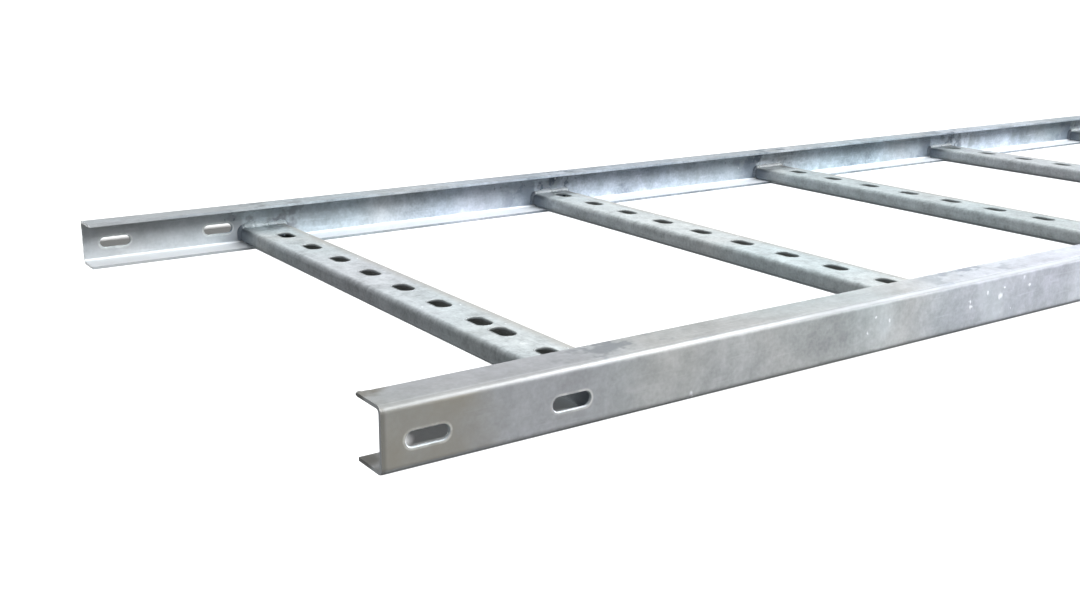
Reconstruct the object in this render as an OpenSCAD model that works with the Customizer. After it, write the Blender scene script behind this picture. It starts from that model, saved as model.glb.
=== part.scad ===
// Cable ladder section in hot-dip galvanised sheet steel.
// Two channel side rails stand with their webs outside and their flanges turned inwards.
// Slotted rungs, open at the bottom, sit on the lower flanges and are welded to the webs.
// X runs along the ladder, Y across it and Z up. The origin is in the middle of the base.

/* [Ladder] */
// Clear width between the webs of the two side rails
clear_w = 500; // [200:10:900]
// Distance from one rung's centre line to the next
rung_pitch = 300; // [200:5:400]
// Distance from each end of the rails to the centre line of the nearest rung
end_margin = 150; // [130:5:300]

/* [Side rails] */
// Height of a side rail over its flanges
rail_h = 35; // [32:1:110]
// Width of each flange, measured from the outside of the web
rail_flange = 24; // [14:1:60]
// Thickness of the rail's sheet
rail_t = 2; // [1:0.1:3]
// Inside radius of the rail's bends
rail_bend = 2; // [0.5:0.1:4]
// Length of a slot in the web, over its round ends
rail_slot_len = 25; // [16:1:60]
// Width of a slot in the web
rail_slot_w = 9; // [5:0.5:14]
// Distance from the rail's end to the centre of the first slot
rail_slot_first = 25; // [15:1:60]
// Distance between the centres of the two slots at one end
rail_slot_pitch = 85; // [40:1:150]
// Height of the slots' centre line above the base
rail_slot_up = 15.5; // [12:0.5:26]

/* [Rungs] */
// Width of a rung along the ladder
rung_w = 42; // [30:1:80]
// Height of a rung over its lips
rung_h = 12.5; // [11:0.5:30]
// Thickness of the rung's sheet
rung_t = 1.5; // [1:0.1:2.5]
// Inside radius of the rung's bends
rung_bend = 2.5; // [0.5:0.1:4]
// Width of each lip under the rung, measured from the outside of its wall
rung_lip = 9; // [6:0.5:14]
// Space left between the rung's coped corners and the bend of the rail
cope_gap = 0.3; // [0.1:0.1:1]

/* [Rung slots] */
// Length of a slot in the rung's top, over its round ends
slot_len = 22; // [14:1:24]
// Width of a slot in the rung's top
slot_w = 12; // [6:0.5:13]
// Distance from one slot's centre to the next
slot_pitch = 50; // [30:1:80]
// Distance from the first rung's left end to its first slot centre
slot_start = 48; // [18:1:50]
// How much nearer to the left end the row of slots starts on each next rung
slot_shift = 26; // [0:1:49]
// Number of slots on the first rung up to where the punching was started again
restart_after = 7; // [1:1:8]
// Distance between the two slot centres where the punching was started again
restart_gap = 27; // [26:1:50]
// Least metal between a slot and the end of a rung
slot_edge = 4; // [1:0.5:20]

/* [Welds] */
// Leg of the round weld bead where a rung meets a web
weld_leg = 2.5; // [1.5:0.1:5]

/* [Hidden] */

rung_count = 10;
ladder_len = 2 * end_margin + (rung_count - 1) * rung_pitch;
half_w = clear_w / 2 + rail_t;
rail_round = rail_bend + rail_t;
rung_round = rung_bend + rung_t;
rung_top = rail_t + rung_h;
$fn = 64;

// Remainder of a divided by b, never negative
function wrap(a, b) = a - floor(a / b) * b;

// Distance of slot number k of rung number i from the rung's left end.
// The rungs are cut from one punched strip, so the row starts at another place on each.
function slot_at(i, k) = wrap(slot_start - i * slot_shift, slot_pitch) + k * slot_pitch
    - (i == 0 && k >= restart_after ? slot_pitch - restart_gap : 0);

// Distances of all the slots that lie whole within rung number i
function slots_of(i) = [
    for (k = [0 : ceil(clear_w / slot_pitch) + 1])
        let (at = slot_at(i, k))
        if (at >= slot_len / 2 + slot_edge && at <= clear_w - slot_len / 2 - slot_edge) at
];

// Centre line of rung number i
function rung_x(i) = -ladder_len / 2 + end_margin + i * rung_pitch;

// Quarter of a bent sheet's section, in the corner that the signs give
module bend_section(round, t, sx, sy) {
    intersection() {
        difference() {
            circle(r = round);
            circle(r = round - t);
        }
        translate([sx > 0 ? 0 : -round, sy > 0 ? 0 : -round])
            square(round);
    }
}

// Channel section: web on the left from 0, flanges towards positive x
module rail_section() {
    translate([0, rail_round])
        square([rail_t, rail_h - 2 * rail_round]);
    for (y = [0, rail_h - rail_t])
        translate([rail_round, y])
            square([rail_flange - rail_round, rail_t]);
    translate([rail_round, rail_round])
        bend_section(rail_round, rail_t, -1, -1);
    translate([rail_round, rail_h - rail_round])
        bend_section(rail_round, rail_t, -1, 1);
}

// Lipped channel section, open at the bottom and centred on x
module rung_section() {
    side = rung_w / 2 - rung_round;
    translate([-side, rung_h - rung_t])
        square([2 * side, rung_t]);
    for (s = [-1, 1]) {
        translate([s > 0 ? rung_w / 2 - rung_t : -rung_w / 2, rung_round])
            square([rung_t, rung_h - 2 * rung_round]);
        translate([s > 0 ? rung_w / 2 - rung_lip : -side, 0])
            square([rung_lip - rung_round, rung_t]);
        translate([s * side, rung_h - rung_round])
            bend_section(rung_round, rung_t, s, 1);
        translate([s * side, rung_round])
            bend_section(rung_round, rung_t, s, -1);
    }
}

// Slot with round ends along x, cut downwards and upwards from the origin
module slot_cut(len, w, depth) {
    translate([-(len - w) / 2, -w / 2, -depth])
        cube([len - w, w, 2 * depth]);
    for (s = [-1, 1])
        translate([s * (len - w) / 2, 0, -depth])
            cylinder(d = w, h = 2 * depth);
}

// Side rail with its web on the negative y side
module rail() {
    difference() {
        translate([-ladder_len / 2, -half_w, 0])
            rotate([90, 0, 90])
                linear_extrude(ladder_len)
                    rail_section();
        for (end = [-1, 1], k = [0, 1])
            translate([
                end * (ladder_len / 2 - rail_slot_first - k * rail_slot_pitch),
                -half_w + rail_t / 2,
                rail_slot_up
            ])
                rotate([90, 0, 0])
                    slot_cut(rail_slot_len, rail_slot_w, rail_t);
    }
}

// Section of a weld bead: a quarter round that stands on the rung's skin and bites into it
module bead_section() {
    intersection() {
        circle(r = weld_leg);
        translate([-rung_t / 2, 0])
            square([weld_leg + rung_t / 2, weld_leg]);
    }
}

// Bead down one wall and round its top bend, at the rung's positive x and y
module wall_bead() {
    side = rung_w / 2 - rung_round;
    foot = rail_round + cope_gap;
    translate([rung_w / 2, clear_w / 2, rung_top - rung_round])
        rotate([180, 0, 0])
            linear_extrude(rung_top - rung_round - foot)
                bead_section();
    translate([side, clear_w / 2, rung_top - rung_round])
        rotate([90, 0, 0])
            rotate_extrude(angle = 90)
                translate([rung_round, 0])
                    bead_section();
}

// Bead over the rung's flat top, at its positive y end
module top_bead() {
    side = rung_w / 2 - rung_round;
    translate([-side, clear_w / 2, rung_top])
        rotate([180, -90, 0])
            linear_extrude(2 * side)
                bead_section();
}

// The whole weld at the rung's positive y end
module weld() {
    top_bead();
    wall_bead();
    mirror([1, 0, 0])
        wall_bead();
}

// Rung number i, with its slots, coped lower corners and weld beads
module rung(i) {
    cope = rail_bend + cope_gap;
    translate([rung_x(i), 0, 0]) {
        difference() {
            translate([0, clear_w / 2, rail_t])
                rotate([90, 0, 0])
                    linear_extrude(clear_w)
                        rung_section();
            for (at = slots_of(i))
                translate([0, clear_w / 2 - at, rung_top])
                    rotate([0, 0, 90])
                        slot_cut(slot_len, slot_w, 2 * rung_t);
            for (s = [-1, 1])
                translate([-rung_w / 2 - 1, s > 0 ? clear_w / 2 - cope : -clear_w / 2 - 1, rail_t - 1])
                    cube([rung_w + 2, cope + 1, cope + 1]);
        }
        weld();
        mirror([0, 1, 0])
            weld();
    }
}

module side_rail_left() {
    color([0.66, 0.70, 0.73])
        mirror([0, 1, 0])
            rail();
}

module side_rail_right() {
    color([0.62, 0.64, 0.65])
        rail();
}

module slotted_rung(i) {
    color([0.72, 0.75, 0.76])
        rung(i);
}

side_rail_left();
side_rail_right();
slotted_rung(0);  // rung_01
slotted_rung(1);  // rung_02
slotted_rung(2);  // rung_03
slotted_rung(3);  // rung_04
slotted_rung(4);  // rung_05
slotted_rung(5);  // rung_06
slotted_rung(6);  // rung_07
slotted_rung(7);  // rung_08
slotted_rung(8);  // rung_09
slotted_rung(9);  // rung_10
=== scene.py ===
import math
import random
import bpy
from mathutils import Matrix, Vector


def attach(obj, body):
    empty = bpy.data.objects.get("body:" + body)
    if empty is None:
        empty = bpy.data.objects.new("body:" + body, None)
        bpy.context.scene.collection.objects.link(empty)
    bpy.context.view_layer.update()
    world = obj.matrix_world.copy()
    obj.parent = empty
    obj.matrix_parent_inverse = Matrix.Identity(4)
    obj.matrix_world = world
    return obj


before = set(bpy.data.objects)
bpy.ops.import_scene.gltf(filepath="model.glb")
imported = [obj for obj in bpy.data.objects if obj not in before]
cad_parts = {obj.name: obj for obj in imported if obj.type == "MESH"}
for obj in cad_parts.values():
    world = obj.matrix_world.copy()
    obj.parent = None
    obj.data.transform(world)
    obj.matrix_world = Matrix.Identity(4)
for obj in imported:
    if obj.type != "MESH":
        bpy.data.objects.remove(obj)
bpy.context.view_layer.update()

rungNodes = sorted(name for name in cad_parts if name.startswith("rung"))
railSides = {"side_rail_left": 1, "side_rail_right": -1}    # the side of the middle that each stands on
print("ladder frame loaded:", len(railSides), "rails and", len(rungNodes), "rungs")

# Sizes of the ladder in metres, as in the part's source
ladder = {
    "length": 3.0,
    "halfWidth": 0.252,    # to the outside of a web
    "railSheet": 0.002,
    "flange": 0.024,
    "rungWidth": 0.042,
    "rungTop": 0.0145,
    "rungRound": 0.004,    # outside radius of the rung's bends
    "firstRung": -1.35,
    "rungPitch": 0.3,
}
rungSlots = {
    "length": 0.022,
    "width": 0.012,
    "pitch": 0.050,
    "start": 0.048,        # from the left web to the middle of the first rung's first slot
    "shift": 0.026,        # how far the row moves to the left from rung to rung
    "restartAfter": 7,     # slots of the first rung, before the punching was started again
    "restartGap": 0.027,
    "edge": 0.004,         # sheet left at least between a slot and the web
    "most": 12,
}
railSlots = {"length": 0.025, "width": 0.009, "first": 0.025, "pitch": 0.085, "up": 0.0155}
railWall = ladder["halfWidth"] - ladder["railSheet"]   # inside face of a web


def rungAt(number):
    return ladder["firstRung"] + number * ladder["rungPitch"]


# Camera, at the photograph's viewing angle

photoCamera = {
    "place": (-1.7441, -0.7302, 0.2330),  # just outside the right rail's start
    "turnDeg": 34.881,    # from straight across the ladder towards its far end
    "tiltDeg": 15.593,    # downwards
    "rollDeg": 0.524,
    "lensMm": 40.932,
    "sensorMm": 36,
    "clip": (0.01, 200),
}


def placeCamera():
    data = bpy.data.cameras.new("photoCamera")
    data.sensor_fit = "HORIZONTAL"
    data.sensor_width = photoCamera["sensorMm"]
    data.lens = photoCamera["lensMm"]
    data.clip_start, data.clip_end = photoCamera["clip"]
    cam = bpy.data.objects.new("photoCamera", data)
    bpy.context.scene.collection.objects.link(cam)
    turn = Matrix.Rotation(-math.radians(photoCamera["turnDeg"]), 4, "Z")
    tilt = Matrix.Rotation(math.radians(90 - photoCamera["tiltDeg"]), 4, "X")
    roll = Matrix.Rotation(math.radians(photoCamera["rollDeg"]), 4, "Z")
    cam.matrix_world = Matrix.Translation(photoCamera["place"]) @ turn @ tilt @ roll
    bpy.context.scene.camera = cam


# Floor and light. The floor has lights of its own, so that it stays white as on a cut-out product
# picture. It is in two halves that meet under the left rail: each has its own sun, which throws the
# shadows to where the camera sees them only through the slots.

floorLook = {
    "width": 120.0,
    "level": -0.0002,      # just under the flanges
    "seam": 0.240,         # between the halves, under the left rail
    "colour": (0.86, 0.865, 0.87),
    "roughness": 0.9,
    "gloss": 0.1,
}
floorHalves = {
    "nearFloor": {"side": -1, "sunHeightDeg": 36, "sunTurnDeg": 45,
                  "sunSoftDeg": 9, "sunStrength": 8.5, "fill": 0.0},
    "farFloor": {"side": 1, "sunHeightDeg": 21, "sunTurnDeg": 22,
                 "sunSoftDeg": 5, "sunStrength": 14.0, "fill": 0.4},
}
floorFill = {"place": (0, 0.2, 1), "tint": (1.0, 0.97, 0.92)}   # lifts the shadow seen through the slots
roomGlow = {"colour": (0.95, 0.98, 1.0), "strength": 0.12, "backdrop": 1.15}

# Each softbox: its place, the point that it faces, its size in metres, its power and its tint, and
# where it lights some pieces only, how their names begin
softboxes = {
    "skyBox": {"place": (1.2, -0.6, 3.2), "aim": (0.6, -0.2, 0), "size": (7.0, 5.0),
               "watts": 160, "tint": (0.99, 1.0, 1.0)},
    "frontBox": {"place": (2.4, -3.0, 2.3), "aim": (0.3, 0, 0), "size": (5.0, 2.0),
                 "watts": 150, "tint": (0.985, 0.99, 1.0)},
    "railStrip": {"place": (-0.3, -1.6, 1.6), "aim": (-0.3, -0.2, 0), "size": (2.5, 0.6),
                  "watts": 16, "tint": (0.99, 1.0, 1.0), "lights": ("side_rail",)},
    "webBox": {"place": (0.9, -1.8, 0.8), "aim": (0.1, -0.25, 0.0), "size": (1.5, 0.8),
               "watts": 23, "tint": (0.96, 0.97, 1.0), "lights": ("side_rail_right",)},
    "farStrip": {"place": (-0.3, -1.6, 1.4), "aim": (-0.3, 0.25, 0), "size": (2.5, 0.8),
                 "watts": 60, "tint": (0.93, 0.975, 1.0), "lights": ("side_rail_left",)},
    "rightBox": {"place": (-0.68, -0.5, 0.5), "aim": (-0.9, -0.25, 0), "size": (0.5, 0.25),
                 "watts": 9.0, "tint": (0.95, 0.955, 1.0), "lights": ("side_rail_right",)},
    "rungBox": {"place": (-0.75, 0.15, 1.5), "aim": (-0.75, 0.05, 0), "size": (1.2, 0.4),
                "watts": 7.0, "tint": (0.975, 0.995, 1.0), "lights": ("rung",)},
    "firstRungBox": {"place": (-1.15, 0.35, 1.0), "aim": (-1.15, 0.15, 0), "size": (1.0, 0.4),
                     "watts": 3.5, "tint": (0.975, 0.995, 1.0), "lights": tuple(rungNodes[:2])},
    "underBox": {"place": (0, 0, -0.8), "aim": (0, 0, 0), "size": (8.0, 3.0),
                 "watts": 11, "tint": (0.95, 0.98, 1.0)},
    "behindBox": {"place": (0.3, 2.8, -0.45), "aim": (0.2, 0.25, 0.02), "size": (4.5, 0.6),
                  "watts": 60, "tint": (0.98, 0.99, 1.0), "lights": ("side_rail",)},
    "wallBox": {"place": (-2.6, 0.3, 0.7), "aim": (-0.9, 0, 0), "size": (0.8, 2.0),
                "watts": 2.5, "tint": (0.97, 0.98, 1.0), "lights": tuple(rungNodes[1:])},
    "farWallBox": {"place": (-2.6, 0.3, 0.7), "aim": (-0.7, 0, 0), "size": (0.8, 2.0),
                   "watts": 5.0, "tint": (0.96, 0.975, 1.0), "lights": tuple(rungNodes[2:])},
    "backBox": {"place": (3.0, 5.0, 1.4), "aim": (0.4, 0, 0), "size": (8.0, 2.0),
                "watts": 38, "tint": (1.0, 0.995, 0.98)},
    "startBox": {"place": (-3.4, -2.6, 1.3), "aim": (-0.8, 0, 0), "size": (2.5, 1.5),
                 "watts": 18, "tint": (1.0, 0.995, 0.98)},
}


def layFloor():
    paint = bpy.data.materials.new("palePaint")
    paint.use_nodes = True
    shader = paint.node_tree.nodes["Principled BSDF"]
    shader.inputs["Base Color"].default_value = (*floorLook["colour"], 1)
    shader.inputs["Roughness"].default_value = floorLook["roughness"]
    shader.inputs["Specular IOR Level"].default_value = floorLook["gloss"]
    floors = []
    for name, half in floorHalves.items():
        middle = floorLook["seam"] + half["side"] * floorLook["width"] / 2
        bpy.ops.mesh.primitive_plane_add(size=floorLook["width"],
                                         location=(0, middle, floorLook["level"]))
        floor = bpy.context.object
        floor.name = name
        floor.data.materials.append(paint)
        floor.visible_diffuse = False    # the steel mirrors a darker room, as in the photograph
        floor.visible_glossy = False
        floor.visible_shadow = False     # underBox stands for what a pale floor throws back
        floors.append(floor)
    return floors


def hangLamp(name, kind, place, aim, tint):
    data = bpy.data.lights.new(name, kind)
    data.color = tint
    lamp = bpy.data.objects.new(name, data)
    lamp.location = place
    towards = Vector(aim) - Vector(place)
    lamp.rotation_euler = towards.to_track_quat("-Z", "Y").to_euler()
    lamp.visible_camera = False
    bpy.context.scene.collection.objects.link(lamp)
    return lamp


def gathered(name, things):
    group = bpy.data.collections.new(name)
    for thing in things:
        group.objects.link(thing)
    return group


def lightFloor(floor):
    half = floorHalves[floor.name]
    height, turn = math.radians(half["sunHeightDeg"]), math.radians(half["sunTurnDeg"])
    place = (-math.cos(height) * math.sin(turn), -math.cos(height) * math.cos(turn), math.sin(height))
    sun = hangLamp(floor.name + "Sun", "SUN", place, (0, 0, 0), (1, 1, 1))
    sun.data.energy = half["sunStrength"]
    sun.data.angle = math.radians(half["sunSoftDeg"])
    only = gathered(floor.name + "Only", [floor])
    sun.light_linking.receiver_collection = only
    if half["fill"]:
        fill = hangLamp(floor.name + "Fill", "SUN", floorFill["place"], (0, 0, 0), floorFill["tint"])
        fill.data.energy = half["fill"]
        fill.light_linking.receiver_collection = only


def lightRoom(floors):
    notFloor = gathered("notFloor", floors)
    for linked in notFloor.collection_objects:
        linked.light_linking.link_state = "EXCLUDE"
    meshes = [thing for thing in bpy.data.objects if thing.type == "MESH"]
    for name, box in softboxes.items():
        lamp = hangLamp(name, "AREA", box["place"], box["aim"], box["tint"])
        lamp.data.shape = "RECTANGLE"
        lamp.data.size, lamp.data.size_y = box["size"]
        lamp.data.energy = box["watts"]
        lit = notFloor
        if "lights" in box:
            lit = gathered(name + "Lit", [mesh for mesh in meshes if mesh.name.startswith(box["lights"])])
        lamp.light_linking.receiver_collection = lit
    for floor in floors:
        lightFloor(floor)

    world = bpy.data.worlds.new("paleRoom")
    world.use_nodes = True
    tree = world.node_tree
    glow = tree.nodes["Background"]
    glow.inputs["Color"].default_value = (*roomGlow["colour"], 1)
    glow.inputs["Strength"].default_value = roomGlow["strength"]
    backdrop = tree.nodes.new("ShaderNodeBackground")    # the white that the camera sees past the floor
    backdrop.inputs["Color"].default_value = (1, 1, 1, 1)
    backdrop.inputs["Strength"].default_value = roomGlow["backdrop"]
    seen = tree.nodes.new("ShaderNodeLightPath")
    either = tree.nodes.new("ShaderNodeMixShader")
    tree.links.new(seen.outputs["Is Camera Ray"], either.inputs["Fac"])
    tree.links.new(glow.outputs["Background"], either.inputs[1])
    tree.links.new(backdrop.outputs["Background"], either.inputs[2])
    tree.links.new(either.outputs["Shader"], tree.nodes["World Output"].inputs["Surface"])
    bpy.context.scene.world = world
    bpy.context.scene.view_settings.view_transform = "Standard"


bpy.ops.object.select_all(action="DESELECT")
placeCamera()
floors = layFloor()
print("camera and floor ready")


# Zinc finishes. Each is the sheet's own tone from noise at several scales, with marks over it:
# burnt patches and specks at the welds, pale cut faces and so on, and painted shade and painted light
# where light falls unevenly: in corners, under the top flange, on the top bend, inside slots, round the
# rails' slots and on the lower bend. In the dictionaries of marks a pair of numbers is a soft edge:
# nothing shows up to the first, and all from the second on.

plainZinc = {
    # the marks, from 0 for none to 1 for full
    "bands": 0.0,          # soft bands across the web
    "stains": 0.0,         # brownish clouds
    "heat": 0.0,           # burnt patches at the welds
    "heatLevel": 0.0,      # height of the welds on a web, and 0 where they are at a rung's ends
    "before": 0.0,         # broad shade on the web before each rung
    "bendShade": 0.0,       # painted shade on the top bend, that dims its highlight
    "underFlangeShade": 0.0,    # painted shade: a dark line on the web under the top flange
    "seamGhost": 0.0,      # outline of the weld behind, outside the web
    "backEdge": 0.0,       # duller and warmer along a rung's back edge
    "slotShade": 0.0,       # painted shade inside a rung's slots
    "wallShade": 0.0,       # painted shade in the burnt colour, down a rung's walls
    "pool": 0.0,           # painted light on the upward faces of the lower bend and flange
    "endDull": 0.0,        # broad, towards both ends
    "endWarm": 0.0,        # on the web, from the first slot to the end
    "slotHaloHighlight": 0.0,       # painted highlight: a pale outline round a rail's slots
    "cutPale": 0.0,        # bare, light faces where a rail was cut
    "scale": [],           # dark spots: x, y, z and radius
    "splashes": [],        # of zinc, outside the web: along the ladder, height and radius
    "rings": [],           # pale arcs outside the web, given in the same way
}
railZinc = dict(
    plainZinc,
    dark=(0.28, 0.295, 0.305), mid=(0.41, 0.43, 0.445), light=(0.58, 0.605, 0.625),
    # broad zones: place in the noise, and tint
    tints=[(0.36, (0.93, 1.0, 0.985)), (0.47, (1.0, 0.985, 0.95)),
           (0.55, (0.965, 0.985, 1.0)), (0.68, (0.97, 0.965, 1.03))],
    metallic=0.32, roughness=(0.26, 0.5), bumpMm=0.16,
    clouds=0.55,           # how much the largest spots count
    cloudsPerM=6.0, patchesPerM=34.0, mottlePerM=120.0, specksPerM=420.0, strokesPerM=(26, 420, 420),
    bands=0.9, stains=0.25, heat=0.8, heatLevel=0.009, bendShade=0.62, seamGhost=0.3, pool=0.85,
    endDull=0.35, endWarm=0.8, endColour=(0.29, 0.275, 0.235), slotHaloHighlight=0.5, cutPale=0.8,
    scale=[(-1.4990, -0.2295, 0.0350, 0.0110), (-1.4900, -0.2285, 0.0345, 0.0080),
           (-1.4990, -0.2310, 0.0015, 0.0150)],
    splashes=[(-1.0330, 0.0195, 0.0028), (-1.0475, 0.0232, 0.0019), (-1.0290, 0.0250, 0.0012),
              (-1.0010, 0.0225, 0.0018), (-1.1650, 0.0150, 0.0016), (-1.1580, 0.0235, 0.0014),
              (-1.1450, 0.0200, 0.0012), (0.1530, 0.0180, 0.0024), (0.4630, 0.0240, 0.0018),
              (1.0420, 0.0130, 0.0022)],
    rings=[(-1.0480, 0.0215, 0.0062), (-1.0400, 0.0140, 0.0090), (-1.1490, 0.0185, 0.0045),
           (0.1440, 0.0200, 0.0070), (1.0330, 0.0190, 0.0060)],
)
leftRailZinc = dict(
    railZinc,
    dark=(0.21, 0.235, 0.255), mid=(0.43, 0.465, 0.49), light=(0.70, 0.735, 0.76),
    tints=[(0.36, (0.90, 1.0, 1.06)), (0.46, (0.98, 0.985, 1.0)),
           (0.56, (0.93, 0.985, 1.07)), (0.68, (0.99, 0.96, 1.04))],
    stains=0.8, heat=1.0, before=0.42, bendShade=0.0, underFlangeShade=0.6,
    endDull=0.5, endWarm=0.4, endColour=(0.555, 0.56, 0.555),
    scale=[], splashes=[], rings=[],
)
rungZinc = dict(
    plainZinc,
    dark=(0.35, 0.37, 0.375), mid=(0.615, 0.64, 0.65), light=(0.86, 0.885, 0.89),
    tints=[(0.38, (0.92, 1.0, 1.02)), (0.48, (0.98, 0.995, 0.99)),
           (0.56, (0.95, 1.0, 1.02)), (0.66, (0.97, 0.975, 1.01))],
    metallic=0.3, roughness=(0.38, 0.62), bumpMm=0.14,
    clouds=0.2, cloudsPerM=8.0, patchesPerM=46.0, mottlePerM=150.0, specksPerM=480.0,
    strokesPerM=(420, 26, 420),
    stains=0.3, heat=0.5, backEdge=0.75, slotShade=0.55,
)

# Noises: spots in a metre where the finish doesn't say, detail, roughness and where the pattern starts
zincNoise = {
    "clouds": (None, 3.0, 0.55, (0, 0, 0)),
    "patches": (None, 5.0, 0.6, (3.1, 1.7, 0.4)),
    "mottle": (None, 4.0, 0.6, (7.3, 0.2, 2.9)),
    "specks": (None, 2.0, 0.5, (0.3, 2.2, 5.0)),
    "bands": (15.0, 2.0, 0.5, (1.9, 0, 0)),
    "strokes": (1.0, 2.0, 0.6, (0.4, 0.2, 0.9)),
    "stains": (38.0, 4.0, 0.65, (4.4, 2.6, 1.3)),
    "zones": (3.4, 2.0, 0.5, (5.7, 0.9, 0.1)),
    "smoke": (62.0, 3.0, 0.6, (2.2, 8.1, 0.7)),
}


class Skin:
    # a zinc material in the making: its nodes, and the colour that each mark is painted over

    def __init__(self, name):
        self.material = bpy.data.materials.new(name)
        self.material.use_nodes = True
        self.tree = self.material.node_tree
        self.coords = self.add("ShaderNodeTexCoord").outputs["Object"]
        self.x, self.y, self.z = self.add("ShaderNodeSeparateXYZ", {"Vector": self.coords}).outputs
        normal = self.add("ShaderNodeNewGeometry").outputs["Normal"]
        facing = self.add("ShaderNodeSeparateXYZ", {"Vector": normal}).outputs
        self.facingX, self.facingY, self.facingZ = facing
        self.colour = None

    def feed(self, socket, value):
        # wires a socket up, or sets it to a number, a vector or a colour
        if isinstance(value, bpy.types.NodeSocket):
            self.tree.links.new(value, socket)
        elif socket.type == "RGBA":
            socket.default_value = (*value, 1)
        else:
            socket.default_value = value

    def add(self, kind, inputs=None, **settings):
        node = self.tree.nodes.new(kind)
        for key, value in settings.items():
            setattr(node, key, value)
        for key, value in (inputs or {}).items():
            self.feed(node.inputs[key], value)
        return node

    def maths(self, operation, *values, clamp=False):
        node = self.add("ShaderNodeMath", dict(enumerate(values)), operation=operation, use_clamp=clamp)
        return node.outputs[0]

    def times(self, first, *others):
        for other in others:
            first = self.maths("MULTIPLY", first, other)
        return first

    def minus(self, a, b):
        return self.maths("SUBTRACT", a, b)

    def larger(self, a, b):
        return self.maths("MAXIMUM", a, b)

    def size(self, value):
        return self.maths("ABSOLUTE", value)

    def scaled(self, value, factor, offset=0.0):
        return self.maths("MULTIPLY_ADD", value, factor, offset)

    def slant(self, a, b):
        # length of the straight line over the two sides a and b
        return self.maths("SQRT", self.maths("ADD", self.times(a, a), self.times(b, b)))

    def rise(self, value, reach):
        # 0 up to the first number of the reach, 1 from the second on
        start, full = reach
        node = self.add("ShaderNodeMapRange", {"Value": value, "From Min": start, "From Max": full},
                        clamp=True, interpolation_type="SMOOTHSTEP")
        return node.outputs["Result"]

    def gapTo(self, place, point):
        node = self.add("ShaderNodeVectorMath", {0: place, 1: point}, operation="DISTANCE")
        return node.outputs["Value"]

    def mapped(self, vector, stretch, shift):
        node = self.add("ShaderNodeMapping", {"Vector": vector, "Scale": stretch, "Location": shift})
        return node.outputs["Vector"]

    def noise(self, kind, perM=None, stretch=(1, 1, 1)):
        usual, detail, rough, shift = zincNoise[kind]
        vector = self.mapped(self.coords, stretch, shift)
        node = self.add("ShaderNodeTexNoise", {"Vector": vector, "Scale": perM or usual,
                                               "Detail": detail, "Roughness": rough})
        return node.outputs["Fac"]

    def parted(self, colour):
        # the red, green and blue of a texture, as three random numbers
        return self.add("ShaderNodeSeparateColor", {"Color": colour}).outputs

    def ramp(self, factor, stops):
        node = self.add("ShaderNodeValToRGB", {"Fac": factor})
        elements = node.color_ramp.elements
        while len(elements) < len(stops):
            elements.new(0.5)
        for element, (at, colour) in zip(elements, stops):
            element.position = at
            element.color = (*colour, 1)
        return node.outputs["Color"]

    def paint(self, amount, colour, blend="MIX"):
        node = self.add("ShaderNodeMix", data_type="RGBA", blend_type=blend)
        for socket, value in zip((node.inputs["Factor"], node.inputs[6], node.inputs[7]),
                                 (amount, self.colour, colour)):
            self.feed(socket, value)
        self.colour = node.outputs[2]


# The sheet itself: cloudy tones, bands across the web, strokes from rolling and handling, stains
# and broad tints

sheetTone = {
    "shares": {"patches": 0.55, "mottle": 0.6, "specks": 0.4},   # what each noise counts, beside clouds
    "stops": (0.2, 0.5, 0.85),       # of the dark, mid and light tone
    "webTurned": (0.5, 0.9),
    "bandStretch": (1, 0.0, 0.12),
    "strokes": (0.58, 0.72), "strokeShare": 0.3,
    "stains": (0.53, 0.68), "stainShares": (0.74, 0.74, 0.72),   # of the mid tone
}


def laySheet(skin, look):
    shares = dict(clouds=look["clouds"], **sheetTone["shares"])
    tone = 0.5 - sum(shares.values()) / 2
    noises = {}
    for kind, share in shares.items():
        noises[kind] = skin.noise(kind, look[kind + "PerM"])
        tone = skin.scaled(noises[kind], share, tone)
    skin.patches, skin.mottle = noises["patches"], noises["mottle"]
    if look["bands"]:
        web = skin.rise(skin.size(skin.facingY), sheetTone["webTurned"])
        bands = skin.noise("bands", stretch=sheetTone["bandStretch"])
        tone = skin.scaled(skin.times(skin.minus(bands, 0.5), look["bands"]), web, tone)
    stops = list(zip(sheetTone["stops"], (look["dark"], look["mid"], look["light"])))
    skin.colour = skin.ramp(tone, stops)

    strokes = skin.rise(skin.noise("strokes", stretch=look["strokesPerM"]), sheetTone["strokes"])
    skin.paint(skin.times(strokes, sheetTone["strokeShare"]), look["light"])
    stain = skin.rise(skin.noise("stains"), sheetTone["stains"])
    skin.paint(skin.times(stain, look["stains"]),
               tuple(share * part for share, part in zip(sheetTone["stainShares"], look["mid"])))
    skin.paint(1.0, skin.ramp(skin.noise("zones"), look["tints"]), "MULTIPLY")


# Welds: burnt, bluish patches of heat tint, and painted shade in the same colour, darkest in the corner
# before each rung

weldMarksAndShade = {
    # the bluish colour of heat tint; the painted shade in the corner and on a weld's sides uses it too
    "burnt": (0.13, 0.155, 0.19),
    "onWeb": (0.075, 0.02), "upShare": 1.3,    # the patch on a web is a little wider than high
    "onRung": (0.05, 0.008),
    "smoke": (0.50, 0.62),
    # painted shade in the corner before each rung, where web and rung meet
    "corner": (0.020, -0.014), "cornerWander": -0.028,
    "cornerUp": (0.032, 0.014), "cornerOut": (0.045, 0.006), "cornerShare": 0.9,
    "rungEdge": (-0.0035, -0.0008),
    "outside": (railWall + 0.0004, railWall + 0.0012), "outsideShare": -0.85,
}


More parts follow.
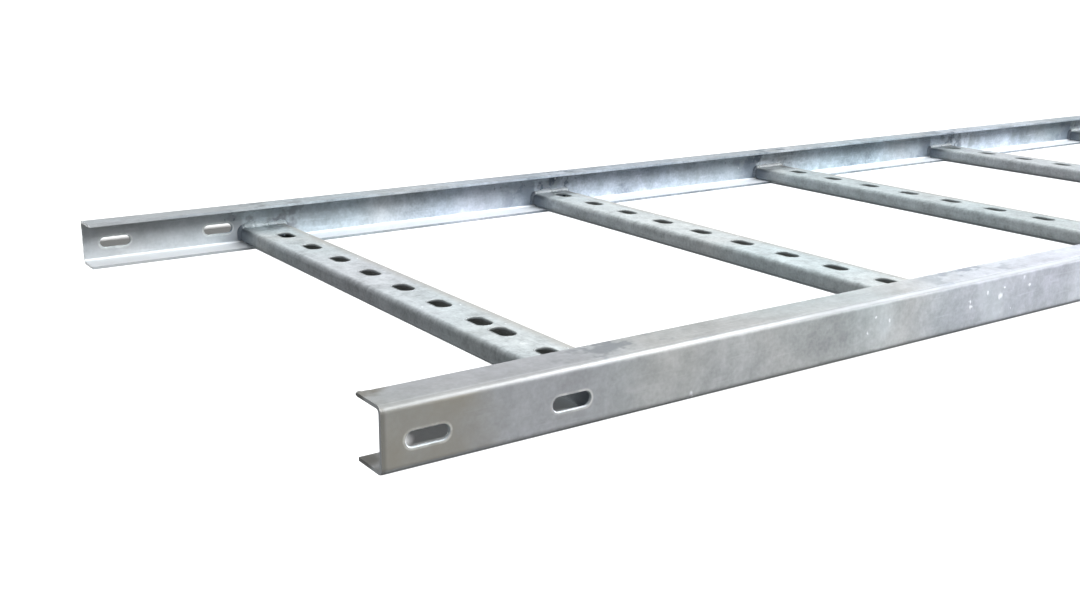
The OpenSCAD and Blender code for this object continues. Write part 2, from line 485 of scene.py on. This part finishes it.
def findWelds(skin, look):
    half = ladder["rungPitch"] / 2
    along = skin.maths("ADD", skin.x, -ladder["firstRung"])
    skin.rungOffset = skin.maths("WRAP", along, half, -half)      # from the nearest rung's middle line
    skin.fromRung = skin.size(skin.rungOffset)
    skin.fromWall = skin.minus(railWall, skin.size(skin.y))       # from the inside face of a web
    skin.outside = skin.rise(skin.size(skin.y), weldMarksAndShade["outside"])             # 1 on its outer face
    skin.before = skin.scaled(skin.rungOffset, -1.0, -ladder["rungWidth"] / 2)    # ahead of the rung's edge
    skin.beside = skin.rise(skin.before, weldMarksAndShade["rungEdge"])                   # 1 from that edge on
    if look["heatLevel"]:
        up = skin.times(skin.minus(skin.z, look["heatLevel"]), weldMarksAndShade["upShare"])
        skin.nearWeld = skin.rise(skin.slant(skin.fromRung, up), weldMarksAndShade["onWeb"])
    else:
        skin.nearWeld = skin.rise(skin.fromWall, weldMarksAndShade["onRung"])
    skin.smoke = skin.noise("smoke")
    burnt = skin.times(skin.rise(skin.smoke, weldMarksAndShade["smoke"]), skin.nearWeld, look["heat"])
    # painted shade in the corner before each rung
    ahead = skin.scaled(skin.smoke, weldMarksAndShade["cornerWander"], skin.before)
    corner = skin.times(skin.rise(ahead, weldMarksAndShade["corner"]), skin.beside,
                        skin.rise(skin.z, weldMarksAndShade["cornerUp"]),
                        skin.rise(skin.fromWall, weldMarksAndShade["cornerOut"]), weldMarksAndShade["cornerShare"])
    weaker = skin.scaled(skin.outside, weldMarksAndShade["outsideShare"], 1.0)    # outside the web
    skin.scorch = skin.times(skin.larger(burnt, corner), weaker)


# Shades on the rails: before each rung, on the top bend and in the corner under the top flange

railShades = {
    "before": (0.10, -0.01), "beforeWander": -0.05, "beforeColour": (0.235, 0.285, 0.325),
    "bendFrom": (0.2, 0.45), "bendTo": (0.985, 0.9), "bendUp": (0.028, 0.031),
    "bendColour": (0.16, 0.17, 0.175),
    "onwards": (-1.42, -1.15), "onwardsShare": 0.3,     # from here the painted shade on the bend grows darker still
    "lineUp": (0.0285, 0.0345), "lineOut": (0.005, 0.002), "lineWander": 0.004,
    "lineColour": (0.17, 0.16, 0.145),
}


def shadeRail(skin, look):
    skin.softened = 0.0
    if look["before"]:
        ahead = skin.scaled(skin.patches, railShades["beforeWander"], skin.before)
        shade = skin.times(skin.rise(ahead, railShades["before"]), look["before"], skin.beside)
        skin.paint(shade, railShades["beforeColour"])
    # painted shade on the top bend, darker further along, that dims the highlight there
    if look["bendShade"]:
        turned = skin.times(skin.rise(skin.facingZ, railShades["bendFrom"]),
                            skin.rise(skin.facingZ, railShades["bendTo"]),
                            skin.rise(skin.z, railShades["bendUp"]))
        onwards = skin.rise(skin.x, railShades["onwards"])
        dull = skin.scaled(onwards, railShades["onwardsShare"], look["bendShade"])
        skin.paint(skin.times(turned, dull), railShades["bendColour"])
        skin.softened = skin.times(turned, onwards)
    # painted shade: a dark line on the web under the top flange
    if look["underFlangeShade"]:
        up = skin.scaled(skin.patches, railShades["lineWander"], skin.z)
        line = skin.times(skin.rise(up, railShades["lineUp"]),
                          skin.rise(skin.fromWall, railShades["lineOut"]),
                          skin.minus(1.0, skin.outside), look["underFlangeShade"])
        skin.paint(line, railShades["lineColour"])


# Traces of the making: the weld's pale outline outside the web and a rung's dull back edge; and painted
# shade inside a rung's slots and on a weld's sides down a rung's walls

tracesAndShades = {
    "ghostOff": 0.006, "ghostWander": 0.012, "ghost": (0.003, 0.0004), "ghostSmoke": (0.47, 0.6),
    "ghostColour": (0.62, 0.63, 0.65),
    "back": (0.012, 0.024), "backWander": 0.008, "backColour": (0.43, 0.405, 0.37),
    "mouth": (0.0072, 0.0066), "mouthTurned": (0.5, 0.2), "mouthColour": (0.12, 0.13, 0.13),
    "wall": (0.0196, 0.0210),
}


def leaveTracesAndShades(skin, look):
    if look["seamGhost"]:
        seam = skin.larger(skin.minus(skin.fromRung, ladder["rungWidth"] / 2),
                           skin.minus(skin.z, ladder["rungTop"]))
        seam = skin.scaled(skin.patches, tracesAndShades["ghostWander"], skin.minus(seam, tracesAndShades["ghostOff"]))
        ghost = skin.times(skin.rise(skin.size(seam), tracesAndShades["ghost"]),
                           skin.rise(skin.smoke, tracesAndShades["ghostSmoke"]),
                           skin.outside, look["seamGhost"])
        skin.paint(ghost, tracesAndShades["ghostColour"])
    if look["backEdge"]:
        back = skin.rise(skin.scaled(skin.patches, tracesAndShades["backWander"], skin.rungOffset), tracesAndShades["back"])
        skin.paint(skin.times(back, look["backEdge"]), tracesAndShades["backColour"])
    # painted shade on the walls inside a rung's slots
    if look["slotShade"]:
        mouth = skin.times(skin.rise(skin.fromRung, tracesAndShades["mouth"]), look["slotShade"],
                           skin.rise(skin.size(skin.facingZ), tracesAndShades["mouthTurned"]))
        skin.paint(mouth, tracesAndShades["mouthColour"])
    # painted shade in the burnt colour on a weld's sides, where it runs down a rung's walls
    if look["wallShade"]:
        wall = skin.times(skin.rise(skin.fromRung, tracesAndShades["wall"]), look["wallShade"])
        skin.paint(wall, weldMarksAndShade["burnt"])


# Zinc specks: small light dots, more of them near the welds, and the given splashes and arcs

zincSpecks = {
    "colour": (0.88, 0.90, 0.92), "share": 0.75,
    "bendPerM": 260.0, "bendBy": 0.009,        # a fine noise bends the dots out of round
    "dotsPerM": 90.0, "dotStretch": (1, 1, 0.6), "dotShift": (0.37, 0.61, 0.23),
    "dotSize": (0.2, 0.06), "dotEdge": 0.12,   # in cells: spread, least size and soft edge
    "pick": (0.985, 1.0), "weldShare": 0.3,
    "splashBend": 0.003, "splashEdge": 0.3,
    "ring": (0.0022, 0.0003), "ringSmoke": (0.49, 0.62), "ringShare": 0.3,
    "haze": (2.2, 0.6), "hazeShare": 0.3, "hazeColour": (0.56, 0.62, 0.64),   # round an arc, in its radii
}


def givenSplashes(skin, look, bentTone):
    bend = zincSpecks["splashBend"]
    flat = skin.add("ShaderNodeCombineXYZ", {"X": skin.scaled(bentTone["Red"], bend, skin.x),
                                             "Z": skin.scaled(bentTone["Green"], bend, skin.z)})
    flat = flat.outputs["Vector"]
    splash, ring, haze = 0.0, 0.0, 0.0
    for x, z, radius in look["splashes"]:
        gap = skin.gapTo(flat, (x + bend / 2, 0, z + bend / 2))
        splash = skin.larger(skin.rise(gap, (radius, radius * zincSpecks["splashEdge"])), splash)
    for x, z, radius in look["rings"]:
        gap = skin.gapTo(flat, (x + bend / 2, 0, z + bend / 2))
        ring = skin.larger(skin.rise(skin.size(skin.minus(gap, radius)), zincSpecks["ring"]), ring)
        haze = skin.larger(skin.rise(gap, [radius * share for share in zincSpecks["haze"]]), haze)
    skin.paint(skin.times(haze, skin.outside, zincSpecks["hazeShare"]), zincSpecks["hazeColour"])
    ring = skin.times(ring, skin.rise(skin.smoke, zincSpecks["ringSmoke"]), zincSpecks["ringShare"])
    return skin.times(skin.larger(splash, ring), skin.outside)


def throwSpecks(skin, look):
    bent = skin.add("ShaderNodeTexNoise", {"Vector": skin.coords, "Scale": zincSpecks["bendPerM"],
                                           "Detail": 1.0}).outputs["Color"]
    pulled = skin.add("ShaderNodeVectorMath", {0: bent, 1: [zincSpecks["bendBy"]] * 3, 2: skin.coords},
                      operation="MULTIPLY_ADD").outputs["Vector"]
    cells = skin.mapped(pulled, zincSpecks["dotStretch"], zincSpecks["dotShift"])
    dots = skin.add("ShaderNodeTexVoronoi", {"Vector": cells, "Scale": zincSpecks["dotsPerM"]}).outputs
    dotTone = skin.parted(dots["Color"])
    dotSize = skin.scaled(dotTone["Green"], *zincSpecks["dotSize"])
    inside = skin.minus(dotSize, dots["Distance"])
    dotShape = skin.maths("DIVIDE", inside, zincSpecks["dotEdge"], clamp=True)
    luck = skin.scaled(skin.nearWeld, zincSpecks["weldShare"], dotTone["Red"])
    skin.dot = skin.times(dotShape, skin.rise(luck, zincSpecks["pick"]))
    if look["splashes"]:
        skin.dot = skin.larger(skin.dot, givenSplashes(skin, look, skin.parted(bent)))
    skin.paint(skin.times(skin.dot, zincSpecks["share"]), zincSpecks["colour"])


# Ends of the rails: dull and warm, with a painted highlight round the slots, light cut faces and dark scale;
# and, all along, painted light on the upward faces of the lower bend and flange

railEnds = {
    "footTurned": (0.15, 0.7), "footUp": (0.008, 0.005), "footLightColour": (0.93, 0.95, 0.98),
    "dull": (1.1, 1.48), "dullShares": (0.8, 0.5),
    "warm": (1.44, 1.475), "warmWander": 0.03, "warmTurned": (0.9, 0.98), "warmShares": (1.6, 0.1),
    "haloOff": 0.0004, "halo": (0.0012, 0.0002), "haloMottle": (0.42, 0.58), "haloShares": (0.6, 0.4),
    "haloColour": (0.80, 0.80, 0.76),
    "line": (1.4966, 1.4986), "lineShare": 0.6, "lineColour": (0.16, 0.155, 0.14),   # just beside the cut
    "cut": (1.4990, 1.4995), "cutTurned": (0.7, 0.9), "cutColour": (0.86, 0.88, 0.90),
    "scale": (1.4, 0.7), "scaleShare": 0.7, "scaleColour": (0.17, 0.155, 0.125),     # in a spot's radii
}


def fromRailSlot(skin, fromMiddle):
    # distance from the middle line of the nearest of a rail's slots
    between = ladder["length"] / 2 - railSlots["first"] - railSlots["pitch"] / 2
    along = skin.size(skin.minus(skin.size(skin.minus(fromMiddle, between)), railSlots["pitch"] / 2))
    along = skin.larger(skin.minus(along, (railSlots["length"] - railSlots["width"]) / 2), 0.0)
    return skin.slant(along, skin.minus(skin.z, railSlots["up"]))


def dullEnds(skin, look):
    fromMiddle = skin.size(skin.x)
    skin.pool = 0.0
    # painted light on the upward faces of the lower bend and flange, in a bright zinc colour
    if look["pool"]:
        skin.pool = skin.times(skin.rise(skin.facingZ, railEnds["footTurned"]),
                               skin.rise(skin.z, railEnds["footUp"]))
        skin.paint(skin.times(skin.pool, look["pool"]), railEnds["footLightColour"])
    if look["endDull"]:
        end = skin.times(skin.rise(fromMiddle, railEnds["dull"]),
                         skin.scaled(skin.patches, *railEnds["dullShares"]))
        skin.paint(skin.maths("MULTIPLY", end, look["endDull"], clamp=True), look["endColour"])
    if look["endWarm"]:
        reach = skin.scaled(skin.patches, railEnds["warmWander"], fromMiddle)
        warm = skin.times(skin.rise(reach, railEnds["warm"]),
                          skin.scaled(skin.patches, *railEnds["warmShares"]),
                          skin.rise(skin.size(skin.facingY), railEnds["warmTurned"]))
        skin.paint(skin.maths("MULTIPLY", warm, look["endWarm"], clamp=True), look["endColour"])
    # painted highlight: a pale, uneven outline round a rail's slots, where the rim catches light
    if look["slotHaloHighlight"]:
        off = skin.minus(fromRailSlot(skin, fromMiddle), railSlots["width"] / 2 + railEnds["haloOff"])
        uneven = skin.scaled(skin.rise(skin.mottle, railEnds["haloMottle"]), *railEnds["haloShares"])
        skin.paint(skin.times(skin.rise(skin.size(off), railEnds["halo"]), uneven, look["slotHaloHighlight"]),
                   railEnds["haloColour"])
    if look["cutPale"]:
        line = skin.times(skin.rise(fromMiddle, railEnds["line"]), skin.outside, railEnds["lineShare"])
        skin.paint(line, railEnds["lineColour"])
        cut = skin.times(skin.rise(skin.size(skin.facingX), railEnds["cutTurned"]),
                         skin.rise(fromMiddle, railEnds["cut"]), look["cutPale"])
        skin.paint(cut, railEnds["cutColour"])
    for x, y, z, radius in look["scale"]:
        gap = skin.scaled(skin.mottle, radius, skin.gapTo(skin.coords, (x, y, z)))
        spot = skin.rise(gap, [radius * share for share in railEnds["scale"]])
        skin.paint(skin.times(spot, railEnds["scaleShare"]), railEnds["scaleColour"])


# Gloss and relief, the same on every skin apart from what its finish says

zincGloss = {"scorchRough": 0.15, "footLightRough": 0.22, "bendRough": 0.18,
             "bump": 0.6, "mottleRelief": 0.5, "dotRelief": 1.6}


def zincSkin(name, look):
    skin = Skin(name)
    laySheet(skin, look)
    findWelds(skin, look)
    shadeRail(skin, look)
    # heat tint at the welds together with the painted corner shade, in one bluish colour
    skin.paint(skin.scorch, weldMarksAndShade["burnt"])
    leaveTracesAndShades(skin, look)
    throwSpecks(skin, look)
    dullEnds(skin, look)

    shader = skin.tree.nodes["Principled BSDF"]
    low, high = look["roughness"]
    rough = skin.scaled(skin.patches, high - low, low)
    rough = skin.scaled(skin.scorch, zincGloss["scorchRough"], rough)
    rough = skin.scaled(skin.pool, zincGloss["footLightRough"], rough)
    rough = skin.scaled(skin.softened, zincGloss["bendRough"], rough)
    relief = skin.scaled(skin.mottle, zincGloss["mottleRelief"], skin.patches)
    relief = skin.scaled(skin.dot, zincGloss["dotRelief"], relief)
    bump = skin.add("ShaderNodeBump", {"Strength": zincGloss["bump"], "Distance": look["bumpMm"] / 1000,
                                       "Height": relief})
    for socket, value in (("Base Color", skin.colour), ("Metallic", look["metallic"]),
                          ("Roughness", rough), ("Normal", bump.outputs["Normal"])):
        skin.feed(shader.inputs[socket], value)
    return skin.material


def dress(nodeNames, material):
    for name in nodeNames:
        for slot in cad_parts[name].material_slots:
            slot.material = material


dress(["side_rail_right"], zincSkin("rightRailSkin", railZinc))
dress(["side_rail_left"], zincSkin("leftRailSkin", leftRailZinc))
dress(rungNodes, zincSkin("rungSkin", rungZinc))
print("zinc skins on the rails and rungs")


# Helpers for the new pieces

def onlySelect(*pieces):
    bpy.ops.object.select_all(action="DESELECT")
    for piece in pieces:
        piece.select_set(True)
    bpy.context.view_layer.objects.active = pieces[0]


def pickPoints(piece, test):
    # leaves the piece in edit mode with the points selected that pass the test
    onlySelect(piece)
    bpy.ops.object.mode_set(mode="EDIT")
    bpy.ops.mesh.select_mode(type="VERT")
    bpy.ops.mesh.select_all(action="DESELECT")
    bpy.ops.object.mode_set(mode="OBJECT")
    for point in piece.data.vertices:
        point.select = test(point.co)
    bpy.ops.object.mode_set(mode="EDIT")


def settle(piece):
    onlySelect(piece)
    bpy.ops.object.transform_apply(location=True, rotation=True, scale=True)


def melt(piece, grain):
    # runs overlapping lumps together into one smooth skin
    settle(piece)
    remesh = piece.modifiers.new("melt", "REMESH")
    remesh.mode = "VOXEL"
    remesh.voxel_size = grain
    remesh.use_smooth_shade = True
    bpy.ops.object.modifier_apply(modifier="melt")


def joined(pieces, name):
    onlySelect(*pieces)
    if len(pieces) > 1:
        bpy.ops.object.join()
    piece = bpy.context.view_layer.objects.active
    piece.name = name
    piece.data.name = name
    return piece


def copyOf(piece, placing):
    # a copy with its own mesh, moved by the matrix
    twin = piece.copy()
    twin.data = piece.data.copy()
    twin.data.transform(placing)
    if placing.determinant() < 0:
        twin.data.flip_normals()
    bpy.context.scene.collection.objects.link(twin)
    return twin


def hand(piece, skin):
    # gives a finished piece its skin and its body
    piece.data.materials.clear()
    piece.data.materials.append(skin)
    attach(piece, "root")


# Rims: the zinc draws back to a rounded rim in the mouth of every slot

slotRim = {
    "bead": 0.00075,       # radius of the rim round a rung's slot
    "back": 0.00035,       # how far its middle lies back from the slot's wall
    "proud": 0.0002,       # how far it stands above the rung's top
    "railBead": 0.00102,   # thicker than half the web, so that it shows on the inside
    "railBack": 0.0004,
    "railInset": 0.00003,  # it stays just inside the web's outer face
    "steps": 24,
    "sides": 8,
    "zinc": dict(rungZinc, dark=(0.34, 0.36, 0.365), mid=(0.48, 0.50, 0.50), light=(0.70, 0.72, 0.73),
                 roughness=(0.4, 0.6), cloudsPerM=20.0, patchesPerM=90.0,
                 heat=0.3, backEdge=0.0, slotShade=0.0),
}
rimSkin = zincSkin("rimZincSkin", slotRim["zinc"])


def rimRing(length, width, bead, back):
    # a rounded ring along x that fits a slot lying in the xy plane at the origin
    bpy.ops.object.select_all(action="DESELECT")
    bpy.ops.mesh.primitive_torus_add(major_segments=slotRim["steps"], minor_segments=slotRim["sides"],
                                     major_radius=width / 2 + back, minor_radius=bead)
    ring = bpy.context.object
    ring.rotation_euler.z = math.pi / slotRim["steps"]   # no points on the line between the halves
    settle(ring)
    for side in (-1, 1):
        pickPoints(ring, lambda co: co.x * side > 0)
        bpy.ops.transform.translate(value=(side * (length - width) / 2, 0, 0))
        bpy.ops.object.mode_set(mode="OBJECT")
    onlySelect(ring)
    bpy.ops.object.shade_smooth()
    return ring


def slotsOnRung(number):
    start = (rungSlots["start"] - number * rungSlots["shift"]) % rungSlots["pitch"]
    reach = railWall - rungSlots["length"] / 2 - rungSlots["edge"] + 1e-6   # whole slots only
    found = []
    for k in range(rungSlots["most"]):
        at = start + k * rungSlots["pitch"]
        if number == 0 and k >= rungSlots["restartAfter"]:
            at -= rungSlots["pitch"] - rungSlots["restartGap"]
        if abs(railWall - at) <= reach:
            found.append(railWall - at)
    return found


def makeRungRims():
    ring = rimRing(rungSlots["length"], rungSlots["width"], slotRim["bead"], slotRim["back"])
    level = ladder["rungTop"] - slotRim["bead"] + slotRim["proud"]
    across = Matrix.Rotation(math.pi / 2, 4, "Z")
    total = 0
    for number, node in enumerate(rungNodes):
        copies = [copyOf(ring, Matrix.Translation((rungAt(number), y, level)) @ across)
                  for y in slotsOnRung(number)]
        total += len(copies)
        hand(joined(copies, node + "_slot_rims"), rimSkin)
    bpy.data.objects.remove(ring)
    return total


def makeRailRims():
    ring = rimRing(railSlots["length"], railSlots["width"], slotRim["railBead"], slotRim["railBack"])
    upright = Matrix.Rotation(math.pi / 2, 4, "X")
    for name, side in railSides.items():
        copies = []
        y = side * (ladder["halfWidth"] - slotRim["railBead"] - slotRim["railInset"])
        for end in (-1, 1):
            for k in (0, 1):
                x = end * (ladder["length"] / 2 - railSlots["first"] - k * railSlots["pitch"])
                copies.append(copyOf(ring, Matrix.Translation((x, y, railSlots["up"])) @ upright))
        hand(joined(copies, name + "_slot_rims"), rimSkin)
    bpy.data.objects.remove(ring)


print("slot rims:", makeRungRims(), "on the rungs")
makeRailRims()
print("slot rims on the rails")


# Welds: a rippled bead runs up the rung's wall, over its top and down again where it meets a web

weldBead = {
    "ripple": 0.0024,      # radius of one ripple
    "thin": 0.55,          # its thickness along the seam, as a share of the radius
    "step": 0.00165,       # from one ripple to the next
    "leanDeg": 24,
    "leanShare": 0.7,      # of that, both outwards and away from the web
    "standOff": 0.0004,    # of the bead's middle from the rung and from the web
    "foot": 0.0052,        # height of the bead's lower ends
    "wander": 0.00022,     # of a ripple's radius
    "stray": 0.6,          # of its place, as a share of that
    "segments": 14,
    "rings": 8,
    "grain": 0.0005,       # size of the mesh that the ripples are melted into
    "smoothing": (0.5, 2),   # strength and rounds
    "behind": 0.0008,      # what lies deeper in the web than this is cut off
    "creaseDeg": 50,
    # thicker places of the three beads that are copied: how far along the seam, spread and extra
    # thickness, all as shares
    "lumps": [[(0.30, 0.05, 0.75), (0.40, 0.07, 1.0), (0.80, 0.04, 0.35)],
              [(0.22, 0.05, 0.4), (0.62, 0.08, 0.45)],
              [(0.47, 0.10, 0.35), (0.76, 0.04, 0.55)]],
    "used": [0, 1, 2, 1, 0, 2, 2, 1, 0, 2],    # which bead each rung has at its left end
    "firstLuck": 7,
    "zinc": dict(rungZinc, dark=(0.60, 0.62, 0.64), mid=(0.86, 0.88, 0.90), light=(0.95, 0.955, 0.96),
                 metallic=0.1, roughness=(0.26, 0.42), patchesPerM=150.0, mottlePerM=260.0, bumpMm=0.1,
                 heat=0.0, backEdge=0.0, wallShade=0.8, slotShade=0.0),
}
weldSkin = zincSkin("weldZincSkin", weldBead["zinc"])


def seamPoints():
    # place along the seam, x, z and the outward direction, for a rung centred on x = 0
    half, rnd, top = ladder["rungWidth"] / 2, ladder["rungRound"], ladder["rungTop"]
    wall = top - rnd - weldBead["foot"]
    bend = rnd * math.pi / 2
    flat = 2 * (half - rnd)
    whole = 2 * wall + 2 * bend + flat
    count = int(whole / weldBead["step"])
    points = []
    for i in range(count + 1):
        s = whole * i / count
        if s < wall:
            x, z, outX, outZ = -half, weldBead["foot"] + s, -1.0, 0.0
        elif s < wall + bend:
            outX, outZ = -math.cos((s - wall) / rnd), math.sin((s - wall) / rnd)
            x, z = -half + rnd + rnd * outX, top - rnd + rnd * outZ
        elif s < wall + bend + flat:
            x, z, outX, outZ = -half + rnd + s - wall - bend, top, 0.0, 1.0
        elif s < wall + 2 * bend + flat:
            past = (s - wall - bend - flat) / rnd
            outX, outZ = math.sin(past), math.cos(past)
            x, z = half - rnd + rnd * outX, top - rnd + rnd * outZ
        else:
            x, z, outX, outZ = half, top - rnd - (s - wall - 2 * bend - flat), 1.0, 0.0
        points.append((s / whole, x, z, outX, outZ))
    return points


def makeBead(number):
    # the bead at a rung's left end: centred on x = 0, against the left web
    luck = random.Random(weldBead["firstLuck"] + number)
    lean = math.tan(math.radians(weldBead["leanDeg"])) * weldBead["leanShare"]
    ripples = []
    for share, x, z, outX, outZ in seamPoints():
        off = weldBead["standOff"] + luck.uniform(-1, 1) * weldBead["wander"] * weldBead["stray"]
        size = weldBead["ripple"] + luck.uniform(-1, 1) * weldBead["wander"]
        for middle, spread, extra in weldBead["lumps"][number]:
            size *= 1 + extra * math.exp(-((share - middle) / spread) ** 2)
        bpy.ops.object.select_all(action="DESELECT")
        bpy.ops.mesh.primitive_uv_sphere_add(segments=weldBead["segments"], ring_count=weldBead["rings"],
                                             radius=size,
                                             location=(x + outX * off, railWall - off, z + outZ * off))
        ripple = bpy.context.object
        ripple.scale = (1, 1, weldBead["thin"])   # thin along its own z, which is turned along the seam
        leaning = (Vector((outZ, 0, -outX)) + Vector((outX, -1, outZ)) * lean).normalized()
        ripple.rotation_euler = leaning.to_track_quat("Z", "Y").to_euler()
        ripples.append(ripple)
    bead = joined(ripples, "bead")
    melt(bead, weldBead["grain"])
    soften = bead.modifiers.new("soften", "SMOOTH")
    soften.factor, soften.iterations = weldBead["smoothing"]
    bpy.ops.object.modifier_apply(modifier="soften")
    # what lies behind the web's face would only be hidden in the rail
    onlySelect(bead)
    bpy.ops.object.mode_set(mode="EDIT")
    bpy.ops.mesh.select_all(action="SELECT")
    bpy.ops.mesh.bisect(plane_co=(0, railWall + weldBead["behind"], 0), plane_no=(0, 1, 0),
                        use_fill=True, clear_outer=True)
    bpy.ops.object.mode_set(mode="OBJECT")
    bpy.ops.object.shade_smooth_by_angle(angle=math.radians(weldBead["creaseDeg"]))
    return bead


def makeWelds():
    beads = [makeBead(number) for number in range(len(weldBead["lumps"]))]
    for number, node in enumerate(rungNodes):
        for side, word in ((1, "left"), (-1, "right")):
            flip = -1 if (number + (side < 0)) % 2 else 1    # every other bead was laid the other way
            placing = Matrix.Translation((rungAt(number), 0, 0)) @ Matrix.Diagonal((flip, side, 1, 1))
            bead = beads[(weldBead["used"][number] + (side < 0)) % len(beads)]
            weld = copyOf(bead, placing)
            weld.name = weld.data.name = node + "_weld_" + word
            hand(weld, weldSkin)
    size = max(len(bead.data.polygons) for bead in beads)
    for bead in beads:
        bpy.data.objects.remove(bead)
    return size


print("weld beads:", 2 * len(rungNodes), "of", makeWelds(), "faces each")


# Zinc drops: lumps with short tails that froze beside the welds and on the rungs' tops

zincDrops = {
    "perWeld": 7,
    "perRung": 12,
    "radius": (0.0005, 0.0012),
    "rungShare": 0.8,      # how much smaller they are on a rung
    "height": 0.32,        # as a share of the radius
    "tail": 0.9,           # how far the tail is pulled out, in radii
    "tailFrom": -0.6,
    "tailShares": (1, 0.45, 0.6),
    "segments": 8,
    "rings": 5,
    "swing": 0.5,          # how far a tail may hang from straight down, in radians
    "spin": 6.28,          # on a rung it may point any way round
    "webZone": {"out": (0.004, 0.045), "up": (0.0222, 0.0295)},   # from the rung's edge, and height
    "topZone": {"out": (0.0095, 0.0150), "end": 0.235},           # from the rung's middle, both ways
    "luck": 31,
}


def makeDrop():
    # a flat lump on the xy plane with its tail towards negative x, one unit in radius
    bpy.ops.object.select_all(action="DESELECT")
    bpy.ops.mesh.primitive_uv_sphere_add(segments=zincDrops["segments"], ring_count=zincDrops["rings"],
                                         radius=1.0)
    drop = bpy.context.object
    drop.scale.z = zincDrops["height"]
    settle(drop)
    pickPoints(drop, lambda co: co.x < zincDrops["tailFrom"])
    bpy.ops.transform.translate(value=(-zincDrops["tail"], 0, 0))
    bpy.ops.transform.resize(value=zincDrops["tailShares"])
    bpy.ops.object.mode_set(mode="OBJECT")
    bpy.ops.object.shade_smooth()
    return drop


def makeDrops():
    luck = random.Random(zincDrops["luck"])
    drop = makeDrop()
    total = 0
    zone = zincDrops["webZone"]
    for name, side in railSides.items():
        copies = []
        stand = Matrix.Rotation(side * math.pi / 2, 4, "X")      # flat on the web's inner face
        for number in range(len(rungNodes)):
            for _ in range(zincDrops["perWeld"]):
                out = ladder["rungWidth"] / 2 + luck.uniform(*zone["out"])
                x = rungAt(number) + luck.choice((-1, 1)) * out
                size = luck.uniform(*zincDrops["radius"])
                hang = math.pi / 2 * side + luck.uniform(-zincDrops["swing"], zincDrops["swing"])
                placing = (Matrix.Translation((x, side * railWall, luck.uniform(*zone["up"]))) @ stand
                           @ Matrix.Rotation(hang, 4, "Z") @ Matrix.Scale(size, 4))
                copies.append(copyOf(drop, placing))
        total += len(copies)
        hand(joined(copies, name + "_zinc_drops"), weldSkin)
    zone = zincDrops["topZone"]
    for number, node in enumerate(rungNodes):
        copies = []
        for _ in range(zincDrops["perRung"]):
            x = rungAt(number) + luck.choice((-1, 1)) * luck.uniform(*zone["out"])
            size = luck.uniform(*zincDrops["radius"]) * zincDrops["rungShare"]
            placing = (Matrix.Translation((x, luck.uniform(-1, 1) * zone["end"], ladder["rungTop"]))
                       @ Matrix.Rotation(luck.uniform(0, zincDrops["spin"]), 4, "Z") @ Matrix.Scale(size, 4))
            copies.append(copyOf(drop, placing))
        total += len(copies)
        hand(joined(copies, node + "_zinc_drops"), weldSkin)
    bpy.data.objects.remove(drop)
    return total


print("zinc drops:", makeDrops())


# Burr: rough zinc and scale at the inner corner of the right rail's top flange, where it was cut

endBurr = {
    # each lump: how far from the rail's end and from the flange's inner edge, height and half sizes
    "lumps": [(0.0050, 0.0003, 0.0338, (0.0046, 0.0019, 0.0011)),
              (0.0022, 0.0013, 0.0335, (0.0020, 0.0021, 0.0013)),
              (0.0102, 0.0002, 0.0339, (0.0034, 0.0012, 0.0010)),
              (0.0160, 0.0001, 0.0339, (0.0022, 0.0009, 0.0010))],
    "segments": 16,
    "rings": 10,
    "grain": 0.0003,
    "zinc": dict(rungZinc, dark=(0.10, 0.095, 0.085), mid=(0.24, 0.235, 0.215), light=(0.46, 0.46, 0.44),
                 patchesPerM=260.0, mottlePerM=520.0, heat=0.0, backEdge=0.0, bumpMm=0.3),
}
burrSkin = zincSkin("burrSkin", endBurr["zinc"])


def makeBurr():
    start, edge = -ladder["length"] / 2, -ladder["halfWidth"] + ladder["flange"]
    lumps = []
    for along, out, z, size in endBurr["lumps"]:
        bpy.ops.object.select_all(action="DESELECT")
        bpy.ops.mesh.primitive_uv_sphere_add(segments=endBurr["segments"], ring_count=endBurr["rings"],
                                             radius=1.0, location=(start + along, edge + out, z))
        lumps.append(bpy.context.object)
        lumps[-1].scale = size
    burr = joined(lumps, "side_rail_right_end_burr")
    melt(burr, endBurr["grain"])
    hand(burr, burrSkin)
    return len(burr.data.polygons)


print("end burr:", makeBurr(), "faces")

lightRoom(floors)
print("lights ready")
